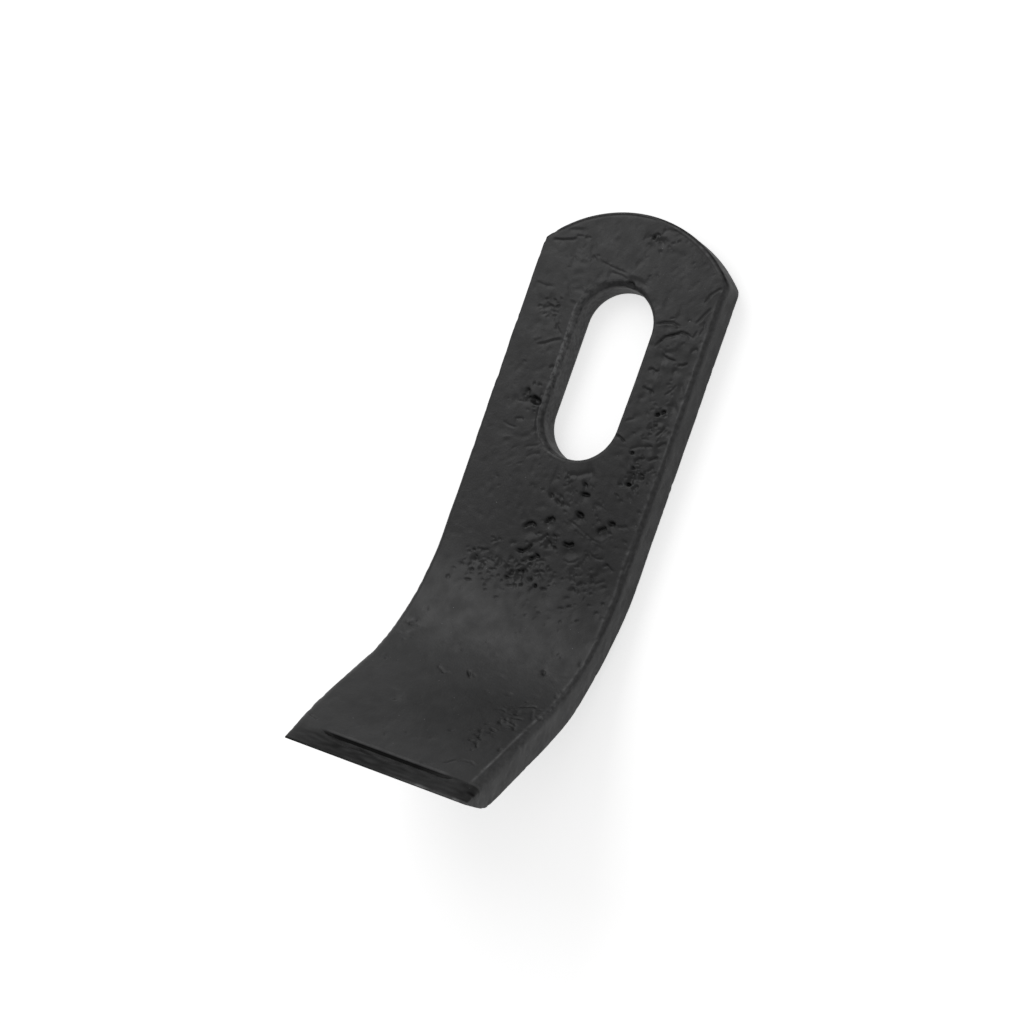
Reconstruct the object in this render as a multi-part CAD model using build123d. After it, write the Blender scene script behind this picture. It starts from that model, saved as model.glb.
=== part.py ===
from build123d import *
import math
import os

# Chopper knife: a flat steel bar with a domed, slotted head and a blade end that is
# bent forward to a cutting edge. It lies on its flat back: X is its width, +Y points
# to the head, +Z is the hollow front. The origin is the slot's centre on the back.

# Bar
bar_width = 50.0
bar_thickness = 8.0
edge_roll = 1.45            # rounding of the front edges along the sides and the head
head_radius = 33.0          # arc of the head, centred on the bar's width
head_corner_radius = 2.0    # where the head's arc meets the sides

# Slot for the clamping bolt
slot_width = 20.0
slot_length = 44.0
slot_to_head = 18.0         # from the slot's end to the top of the head
slot_roll = 1.75            # rounding of the slot's front rim

# Bend and blade
straight_length = 86.3      # from the top of the head to the start of the bend
bend_radius = 47.0          # inside radius, on the hollow front
bend_angle = 49.4
blade_length = 35.05        # from the end of the bend to the cutting edge

# Cutting edge
bevel_length = 8.05         # ground on the back, measured along the blade
bevel_blend_radius = 5.0    # soft start of the bevel
edge_land = 0.3             # flat left on the cutting edge
step_length = 5.85          # lower strip on the front beside the cutting edge
step_depth = 0.6
step_flank = 0.5            # run of the step's short flank along the blade

# Worn side of the blade
wear_width = 1.7            # width lost at the cutting edge
wear_length = 20.0          # along the blade

# Places worked out from the sizes
head_y = slot_length / 2 + slot_to_head
bend_y = head_y - straight_length
slope = math.radians(bend_angle)
side_x = bar_width / 2
blank_length = blade_length + bar_thickness     # the blade before its end is ground

close = 0.01                # how near to a line or a face an edge is taken to lie on it


def in_side_view(y, z):
    """Point in the bar's middle plane."""
    return Vector(0, y, z)


def on_bend(angle, depth):
    """Point of the bend at an angle from its start and a depth below the front."""
    radius = bend_radius + depth
    centre_z = bar_thickness + bend_radius
    return in_side_view(bend_y - radius * math.sin(angle), centre_z - radius * math.cos(angle))


def on_blade(along, depth):
    """Point of the blade at a length from the end of the bend and a depth below the front."""
    start = on_bend(slope, depth)
    return start + in_side_view(-along * math.cos(slope), along * math.sin(slope))


def front_line(length):
    """Front of the bar in the side view, from the head along the given length of blade."""
    straight = Edge.make_line(in_side_view(head_y, bar_thickness), on_bend(0, 0))
    bend = Edge.make_three_point_arc(on_bend(0, 0), on_bend(slope / 2, 0), on_bend(slope, 0))
    blade = Edge.make_line(on_bend(slope, 0), on_blade(length, 0))
    return Wire([straight, bend, blade])


def bent_bar():
    """Bar of full width, bent but with no head, slot or cutting edge yet."""
    depth = bar_thickness
    back = [
        Edge.make_line(on_blade(blank_length, 0), on_blade(blank_length, depth)),
        Edge.make_line(on_blade(blank_length, depth), on_bend(slope, depth)),
        Edge.make_three_point_arc(
            on_bend(slope, depth), on_bend(slope / 2, depth), on_bend(0, depth)
        ),
        Edge.make_line(on_bend(0, depth), in_side_view(head_y, 0)),
        Edge.make_line(in_side_view(head_y, 0), in_side_view(head_y, depth)),
    ]
    outline = Wire(front_line(blank_length).edges() + back)
    return extrude(Face(outline), amount=side_x, dir=(1, 0, 0), both=True)


def plan_shape():
    """Outline of the bar from above, with the domed head."""
    centre_y = head_y - head_radius
    end_y = on_blade(blank_length, bar_thickness).Y - bar_width
    below_dome = Pos(0, (centre_y + end_y) / 2) * Rectangle(bar_width, centre_y - end_y)
    across = Pos(0, centre_y) * Rectangle(bar_width, 2 * head_radius)
    outline = below_dome + (across & Pos(0, centre_y) * Circle(head_radius))
    corners = outline.vertices().filter_by(lambda corner: corner.Y > centre_y)
    return fillet(corners, head_corner_radius)


def worn_side():
    """What wear has taken from one side of the blade, measured from its cutting edge."""
    edge_plane = Plane(
        origin=on_blade(blade_length, 0),
        x_dir=(1, 0, 0),
        z_dir=(0, math.sin(slope), math.cos(slope)),
    )
    beyond = blank_length
    with BuildSketch(edge_plane) as sketch:
        with BuildLine():
            curve = TangentArc((-side_x, wear_length), (wear_width - side_x, 0), tangent=(0, -1))
            end = curve @ 1 + (curve % 1) * beyond
            Line(curve @ 1, end)
            Polyline(end, (-bar_width, end.Y), (-bar_width, wear_length), (-side_x, wear_length))
        make_face()
    return extrude(sketch.sketch, amount=2 * bar_thickness, both=True)


def round_front(bar):
    """Round the front edges of the bar, all round but for the blade's end."""
    front = front_line(blank_length)
    edges = bar.edges().filter_by(
        lambda edge: front.distance_to(in_side_view((edge @ 0.5).Y, (edge @ 0.5).Z)) < close
    )
    return fillet(edges.filter_by(Axis.X, reverse=True), edge_roll)


def cut_slot(bar):
    """Cut the slot and round its front rim."""
    slot = SlotOverall(slot_length, slot_width, rotation=90)
    bar = bar - extrude(slot, amount=bar_thickness)
    rim = bar.edges().filter_by(
        lambda edge: abs((edge @ 0.5).X) < slot_width / 2 + close
        and abs((edge @ 0.5).Y) < slot_length / 2 + close
        and abs((edge @ 0.5).Z - bar_thickness) < close
    )
    return fillet(rim, slot_roll)


def grind_edge(bar):
    """Cut the blade to length, with the step on its front and the bevel on its back."""
    step_start = blade_length - step_length
    heel = on_blade(blade_length - bevel_length, bar_thickness)
    outside = bar_thickness
    corners = [
        on_blade(step_start, -outside),
        on_blade(step_start, 0),
        on_blade(step_start + step_flank, step_depth),
        on_blade(blade_length, step_depth),
        on_blade(blade_length, step_depth + edge_land),
        heel,
        on_blade(blade_length - bevel_length, bar_thickness + outside),
        on_blade(blank_length + outside, bar_thickness + outside),
        on_blade(blank_length + outside, -outside),
    ]
    waste = Face(Wire.make_polygon(corners, close=True))
    bar = bar - extrude(waste, amount=bar_width, dir=(1, 0, 0), both=True)
    heel_edge = bar.edges().filter_by(Axis.X).sort_by_distance(heel)[0]
    return fillet(heel_edge, bevel_blend_radius)


def knife():
    """The whole knife, one piece of steel."""
    bar = bent_bar()
    bar = bar & extrude(plan_shape(), amount=on_blade(blank_length, 0).Z)
    bar = bar - worn_side()
    bar = round_front(bar)
    bar = cut_slot(bar)
    return grind_edge(bar)


os.makedirs("parts", exist_ok=True)
export_step(knife(), "parts/chopper_knife.step")
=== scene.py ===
# %% [markdown]
# A chopper knife is one piece of flat steel bar: a domed head with a long slot for the
# clamping bolt, a bend, and a blade that ends in a ground cutting edge. It is dipped in
# dark paint over rough forged skin, so its character is in the pits, creases and worn
# edges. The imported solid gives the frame: its size, its place and its slot.

import math
import random

import bmesh
import bpy
import numpy as np
from mathutils import Matrix, Vector, noise


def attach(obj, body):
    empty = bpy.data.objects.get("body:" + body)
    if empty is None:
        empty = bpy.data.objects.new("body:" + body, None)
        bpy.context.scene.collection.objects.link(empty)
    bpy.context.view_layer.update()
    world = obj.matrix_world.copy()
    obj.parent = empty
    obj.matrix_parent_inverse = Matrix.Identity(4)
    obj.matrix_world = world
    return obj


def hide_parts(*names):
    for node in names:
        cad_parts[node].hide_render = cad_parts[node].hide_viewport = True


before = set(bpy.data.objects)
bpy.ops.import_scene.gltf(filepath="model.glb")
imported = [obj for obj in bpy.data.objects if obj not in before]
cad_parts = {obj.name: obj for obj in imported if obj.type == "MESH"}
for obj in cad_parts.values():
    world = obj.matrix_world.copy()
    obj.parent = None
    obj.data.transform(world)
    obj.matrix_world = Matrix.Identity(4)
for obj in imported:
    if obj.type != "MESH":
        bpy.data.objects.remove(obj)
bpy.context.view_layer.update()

# %% [markdown]
# The camera comes first, because every later choice is judged through it. It could be
# turned by three angles, but a place, a point to look at and a roll are easier to read:
# the knife is seen from 64 degrees above its flat front and a little from its right.

# %% Camera
camera_place = Vector((0.29668, -0.07931, 0.63478))
camera_target = Vector((-0.01268, -0.03754, 0.0))
camera_roll = math.radians(-63.716)     # turned about its own line of sight
camera_lens = 102.63        # mm
sensor_width = 36.0         # mm
nearest_seen = 0.01         # m

camera_data = bpy.data.cameras.new("camera")
camera_data.lens = camera_lens
camera_data.sensor_width = sensor_width
camera_data.clip_start = nearest_seen
camera = bpy.data.objects.new("camera", camera_data)
sight = (camera_target - camera_place).to_track_quat("-Z", "Y").to_matrix().to_4x4()
roll = Matrix.Rotation(camera_roll, 4, "Z")
camera.matrix_world = Matrix.Translation(camera_place) @ sight @ roll
bpy.context.scene.collection.objects.link(camera)
bpy.context.scene.camera = camera
print("camera to target:", round((camera_target - camera_place).length, 3), "m")

# %% [markdown]
# The knife lies on a plain white table. The floor is an ordinary matt white, so that it
# throws soft light up at the steel and takes the knife's shadow. Where the camera sees it,
# a little glow lifts its white to pure white. Reflections get a share of that glow too:
# with all of it, the sides of the bar would shine brighter than they do in the photo.

# %% Floor
floor_size = 60.0           # m
floor_drop = 0.0002         # kept just under the steel, so that the two don't flicker

floor_mesh = bmesh.new()
bmesh.ops.create_grid(floor_mesh, x_segments=1, y_segments=1, size=floor_size / 2)
bmesh.ops.translate(floor_mesh, verts=floor_mesh.verts, vec=(0, 0, -floor_drop))
floor_data = bpy.data.meshes.new("floor")
floor_mesh.to_mesh(floor_data)
floor_mesh.free()
floor = bpy.data.objects.new("floor", floor_data)
bpy.context.scene.collection.objects.link(floor)
print("floor:", floor_size, "m wide")


# %% White of the floor
def make_material(name):
    """New node material, with its nodes and its links."""
    material = bpy.data.materials.new(name)
    material.use_nodes = True
    return material, material.node_tree.nodes, material.node_tree.links


def feed(socket, value):
    """Give a socket of the material at hand a plain value or another node's output."""
    if isinstance(value, bpy.types.NodeSocket):
        links.new(value, socket)
    else:
        socket.default_value = value


def add_math(operation, first, second):
    """Work out one value from two."""
    node = nodes.new("ShaderNodeMath")
    node.operation = operation
    feed(node.inputs[0], first)
    feed(node.inputs[1], second)
    return node.outputs[0]


floor_white = (0.85, 0.85, 0.85, 1.0)
pure_white = (1.0, 1.0, 1.0, 1.0)
floor_roughness = 0.9
floor_glow = 0.6            # added where the camera or a reflection sees the floor
mirrored_share = 0.35       # how much of the glow a reflection gets

floor_material, nodes, links = make_material("white_table")
matt = nodes["Principled BSDF"]
feed(matt.inputs["Base Color"], floor_white)
feed(matt.inputs["Roughness"], floor_roughness)
feed(matt.inputs["Specular IOR Level"], 0.0)
rays = nodes.new("ShaderNodeLightPath").outputs
mirrored = add_math("MULTIPLY", rays["Is Glossy Ray"], mirrored_share)
seen = add_math("MAXIMUM", rays["Is Camera Ray"], mirrored)
seen = add_math("MAXIMUM", seen, rays["Is Transmission Ray"])
glow = nodes.new("ShaderNodeEmission")
feed(glow.inputs["Color"], pure_white)
feed(glow.inputs["Strength"], add_math("MULTIPLY", seen, floor_glow))
both = nodes.new("ShaderNodeAddShader")
feed(both.inputs[0], matt.outputs[0])
feed(both.inputs[1], glow.outputs[0])
feed(nodes["Material Output"].inputs["Surface"], both.outputs[0])
floor_data.materials.append(floor_material)
print("nodes in the floor's material:", len(nodes))

# %% [markdown]
# Dark paint has hardly any colour of its own: what is seen on it is mostly the soft light
# that it reflects. A lamp from one side would do for a matt thing. Here one wide soft lamp
# hangs where the flat front mirrors it, and ends just there: each dent that leans away
# from it turns dark, and the bend, which leans towards it, lights up in a band.

# %% Light
surround_light = 0.45
lamp_place = Vector((-0.40, 0.375, 0.51))
lamp_long_side = Vector((0.0, 0.86, -0.5))          # which way its longer side runs
lamp_size = (0.42, 0.78)    # m
lamp_power = 1.65           # W

world = bpy.data.worlds.new("surround")
world.use_nodes = True
surround = world.node_tree.nodes["Background"].inputs
surround["Color"].default_value = pure_white
surround["Strength"].default_value = surround_light
bpy.context.scene.world = world

lamp_data = bpy.data.lights.new("head_lamp", "AREA")
lamp_data.shape = "RECTANGLE"
lamp_data.size, lamp_data.size_y = lamp_size
lamp_data.energy = lamp_power
lamp = bpy.data.objects.new("head_lamp", lamp_data)
outward = lamp_place.normalized()
across = lamp_long_side.cross(outward).normalized()
turn_to_knife = Matrix((across, outward.cross(across), outward)).transposed().to_4x4()
lamp.matrix_world = Matrix.Translation(lamp_place) @ turn_to_knife
bpy.context.scene.collection.objects.link(lamp)
bpy.context.scene.view_settings.view_transform = "Standard"
print("lamp to knife:", round(lamp_place.length, 3), "m")

# %% [markdown]
# The knife is modelled flat and bent afterwards, as it is made. Its outline in plan is one
# walk round the head: along the foot line where the head ends, up one side, round a
# corner, over the dome and back. Asked for a smaller outline, the same walk gives the
# points of a rounded edge, so every ring of the mesh has its points in the same order.

# %% Sizes of the bar, in mm
width = 50.0
thickness = 8.0
head_radius = 33.0
head_top = 40.0             # from the slot's centre to the top of the head
dome = Vector((0.0, head_top - head_radius))        # centre of the head's arc
left_corner = 0.3           # the left corner of the head is sharp, the right one blunt
right_corner = 2.0
sharpest_corner = 0.15      # a corner moved inwards stays at least so round
foot = -37.0                # where the ring round the slot hands over to the plain bar
back_chamfer = 0.2
print("bar:", width, "x", thickness, "mm, centre of the dome at y", dome.y)

# %% Walk round the head
foot_steps = 96
side_steps = 124
corner_steps = 4
dome_steps = 106


def arc(centre, radius, start, end, steps):
    """Points on an arc, from one angle to another, without its last point."""
    angles = [start + (end - start) * i / steps for i in range(steps)]
    places = [(centre[0] + radius * math.cos(a), centre[1] + radius * math.sin(a)) for a in angles]
    return [Vector(place) for place in places]


def line(start, end, steps):
    """Points on a straight line, without its last point."""
    return [Vector(start).lerp(Vector(end), i / steps) for i in range(steps)]


def corner(side, inset, blunt):
    """Centre and radius of a head corner, and the angle at which it meets the dome."""
    radius = max(blunt - inset, sharpest_corner)
    x = width / 2 - inset - radius
    reach = head_radius - inset - radius
    y = dome.y + math.sqrt(reach ** 2 - x ** 2)
    return (side * x, y), radius, math.asin(x / reach)


def head_walk(inset):
    """Outline of the head, moved inwards by inset, anticlockwise from the left of the foot."""
    half = width / 2 - inset
    right, right_radius, right_turn = corner(1, inset, right_corner)
    left, left_radius, left_turn = corner(-1, inset, left_corner)
    quarter = math.pi / 2
    walk = line((-half, foot), (half, foot), foot_steps)
    walk += line((half, foot), (half, right[1]), side_steps)
    walk += arc(right, right_radius, 0, quarter - right_turn, corner_steps)
    walk += arc(dome, head_radius - inset, quarter - right_turn, quarter + left_turn, dome_steps)
    walk += arc(left, left_radius, quarter + left_turn, math.pi, corner_steps)
    walk += line((-half, left[1]), (-half, foot), side_steps)
    return walk


outer_walk = head_walk(0.0)
print("points round the head:", len(outer_walk))

# %% [markdown]
# The front edges of the real bar aren't rolled alike. On the right the rounding is small
# in the bend and large at the blade's end; on the left the head is nearly sharp. Short
# tables say how large it is, and each point of the outline reads its own size there.

# %% Rounding of the front edges: y and radius
right_roll = [
    (-122, 1.5), (-116, 2.0), (-110, 1.7), (-98, 1.2), (-85, 0.95), (-60, 0.9), (-38, 1.0),
    (-20, 1.1), (0, 1.15), (26, 1.3),
]
left_roll = [
    (-122, 1.5), (-100, 1.6), (-80, 1.9), (-60, 1.6), (-30, 1.35), (-15, 1.0), (0, 0.7), (26, 0.5),
]
dome_roll = [(-25, 1.0), (5, 0.9), (25, 1.3)]       # over the dome the first number is x
dome_from = 27.0            # y above which a point of the outline is the dome's
widest_roll = 2.2


def look_up(value, table):
    """Read a table of pairs at a value, along straight lines from pair to pair."""
    return np.interp(value, *zip(*table))


def roll_size(point):
    """Rounding of the front edge at a point of the outline."""
    if point.y > dome_from:
        return float(look_up(point.x, dome_roll))
    return float(look_up(point.y, right_roll if point.x > 0 else left_roll))


rolls = [roll_size(point) for point in outer_walk]
inner_walk = head_walk(widest_roll)


def roll_walk(share):
    """Outline of the head, moved inwards by a share of each point's own rounding."""
    walk = []
    for outer, inner, radius in zip(outer_walk, inner_walk, rolls):
        walk.append(outer.lerp(inner, share * radius / widest_roll))
    return walk


print("rounding from", min(rolls), "to", max(rolls), "mm")

# %% [markdown]
# The slot was punched, so its wall is upright at the back and flares towards the front.
# The flare isn't even: it is widest at the upper left and almost nothing at the bottom.
# A few widths by direction say that, and every point of the outline finds its own place on
# the slot's edge by looking for the nearest one.

# %% Walk round the slot
slot_half_width = 9.85
slot_half_straight = 11.95  # from the slot's centre to the centre of its round end
flare_depth = 1.5
flare_by_direction = [      # degrees round the slot's centre, and the flare's width there
    (-180, 0.85), (-141, 0.95), (-112, 1.15), (-90, 0.3), (-65, 0.25), (0, 0.55),
    (65, 0.6), (90, 0.9), (110, 1.3), (141, 1.0), (180, 0.85),
]


def flare_width(point):
    """Width of the slot's flare in the direction of a point."""
    return float(look_up(math.degrees(math.atan2(point.y, point.x)), flare_by_direction))


def slot_walk(grow, flare_share=0.0):
    """The slot's edge moved outwards, by a fixed width and by a share of the flare."""
    walk = []
    for point in outer_walk:
        core = Vector((0, min(max(point.y, -slot_half_straight), slot_half_straight)))
        away = (point - core).normalized()
        flare = flare_share * flare_width(core + away * slot_half_width)
        walk.append(core + away * (slot_half_width + grow + flare))
    return walk


print("flare at the upper left:", round(flare_width(Vector((-10.0, 15.0))), 2), "mm wide")

# %% [markdown]
# One ring of points is drawn round the slot on the back and then pulled from place to
# place: up the slot's wall, out along its flare, across the front, over the outer edge,
# down the side and home across the back. Extruding a ring keeps the mesh one even net of
# four-sided faces, which a pattern of dents can follow. A boolean cut would leave slivers.

# %% Pull a ring round the head
def pull(mesh, ring, places):
    """Extrude a closed ring to new places and give the new ring, in the same order."""
    edges = [mesh.edges.get((ring[i - 1], ring[i])) for i in range(len(ring))]
    made = bmesh.ops.extrude_edge_only(mesh, edges=edges)["geom"]
    fresh = {item for item in made if isinstance(item, bmesh.types.BMVert)}
    new_ring = []
    for vertex, place in zip(ring, places):
        neighbours = [edge.other_vert(vertex) for edge in vertex.link_edges]
        partner = next(neighbour for neighbour in neighbours if neighbour in fresh)
        partner.co = place
        new_ring.append(partner)
    return new_ring


def level(walk, z):
    """Points of a plan at one height."""
    return [Vector((point.x, point.y, z)) for point in walk]


def between(start, end, share):
    """Points part of the way from one ring to another."""
    return [a.lerp(b, share) for a, b in zip(start, end)]


wall_steps = 6
flare_steps = 6
front_steps = 30
flare_curve = 1.5           # above 1, the flare opens out towards the front
lip_round = 0.15            # rounding where the flare meets the front

knife_mesh = bmesh.new()
first = level(slot_walk(back_chamfer), 0.0)
ring = bmesh.ops.create_circle(knife_mesh, segments=len(outer_walk), radius=width)["verts"]
for vertex, place in zip(ring, first):
    vertex.co = place
first_ring = ring

wall_foot = level(slot_walk(0.0), back_chamfer)
wall_top = level(slot_walk(0.0), thickness - flare_depth)
for i in range(wall_steps + 1):
    ring = pull(knife_mesh, ring, between(wall_foot, wall_top, i / wall_steps))
for i in range(1, flare_steps + 1):
    share = i / flare_steps
    height = thickness - flare_depth + (flare_depth - lip_round) * share
    ring = pull(knife_mesh, ring, level(slot_walk(0.0, share ** flare_curve), height))
front_inner = level(slot_walk(lip_round, 1.0), thickness)
front_outer = level(roll_walk(1.0), thickness)
for i in range(front_steps + 1):
    ring = pull(knife_mesh, ring, between(front_inner, front_outer, i / front_steps))
front_ring = ring
print("points so far:", len(knife_mesh.verts))

# %% Pull the ring over the outer edge, down the side and home
roll_steps = 5
side_rows = 10
back_steps = 12
same_place = 0.001          # mm between points that are taken to be one

edge_rings = []
for i in range(1, roll_steps + 1):
    turn = math.pi / 2 * i / roll_steps
    heights = [thickness - radius * (1 - math.cos(turn)) for radius in rolls]
    walk = roll_walk(1 - math.sin(turn))
    ring = pull(knife_mesh, ring, [Vector((*point, z)) for point, z in zip(walk, heights)])
    edge_rings.append(ring)
side_top = [vertex.co.copy() for vertex in ring]
side_foot = level(outer_walk, back_chamfer)
for i in range(1, side_rows + 1):
    ring = pull(knife_mesh, ring, between(side_top, side_foot, i / side_rows))
    edge_rings.append(ring)
back_outer = level(head_walk(back_chamfer), 0.0)
back_ring = pull(knife_mesh, ring, back_outer)
ring = back_ring
for i in range(1, back_steps + 1):
    ring = pull(knife_mesh, ring, between(back_outer, first, i / back_steps))
bmesh.ops.remove_doubles(knife_mesh, verts=ring + first_ring, dist=same_place)
print("points of the closed ring:", len(knife_mesh.verts))

# %% [markdown]
# The plain bar below the slot is the same mesh pulled on. The wall at the foot of the
# head is opened, its rim becomes one loop round the bar's section, and each pull adds one
# row. On the back every second point is welded to its neighbour first, because nobody
# looks for small dents there and the front needs the faces more.

# %% Open the foot and pull the bar out to the cutting edge
straight_length = 86.3      # from the top of the head to the start of the bend
bend_radius = 47.0          # on the hollow front
bend_angle = math.radians(49.4)
blade_length = 35.05
bend_end = straight_length + bend_radius * bend_angle
fine_length = 10.0          # closer rows beside the cutting edge
row = 0.5
fine_row = 0.25
wall_top_y = -115.8         # the short wall beside the cutting edge needs two close rows
wall_foot_y = -115.95
row_gap = 0.12              # an even row nearer than this to the wall's top is left out

inner_foot = [ring[i] for ring in edge_rings for i in range(1, foot_steps)]
bmesh.ops.delete(knife_mesh, geom=inner_foot, context="VERTS")
weld = {back_ring[i]: back_ring[i - 1] for i in range(1, foot_steps, 2)}
bmesh.ops.weld_verts(knife_mesh, targetmap=weld)

section = front_ring[:foot_steps + 1]
section += [ring[foot_steps] for ring in edge_rings]
section += [back_ring[i] for i in range(foot_steps, -1, -2)]
section += [ring[0] for ring in reversed(edge_rings)]

end = head_top - bend_end - blade_length
rows = list(np.arange(foot - row, end + fine_length, -row))
rows += list(np.linspace(end + fine_length, end, round(fine_length / fine_row) + 1))
rows = [y for y in rows if abs(y - wall_top_y) > row_gap] + [wall_top_y, wall_foot_y]
for y in sorted(rows, reverse=True):
    section = pull(knife_mesh, section, [Vector((v.co.x, y, v.co.z)) for v in section])
bmesh.ops.holes_fill(knife_mesh, edges=[e for e in knife_mesh.edges if e.is_boundary], sides=0)
bmesh.ops.recalc_face_normals(knife_mesh, faces=knife_mesh.faces)
print("rows on the bar:", len(rows), "faces:", len(knife_mesh.faces))
print("open edges left:", sum(e.is_boundary for e in knife_mesh.edges))
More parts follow.
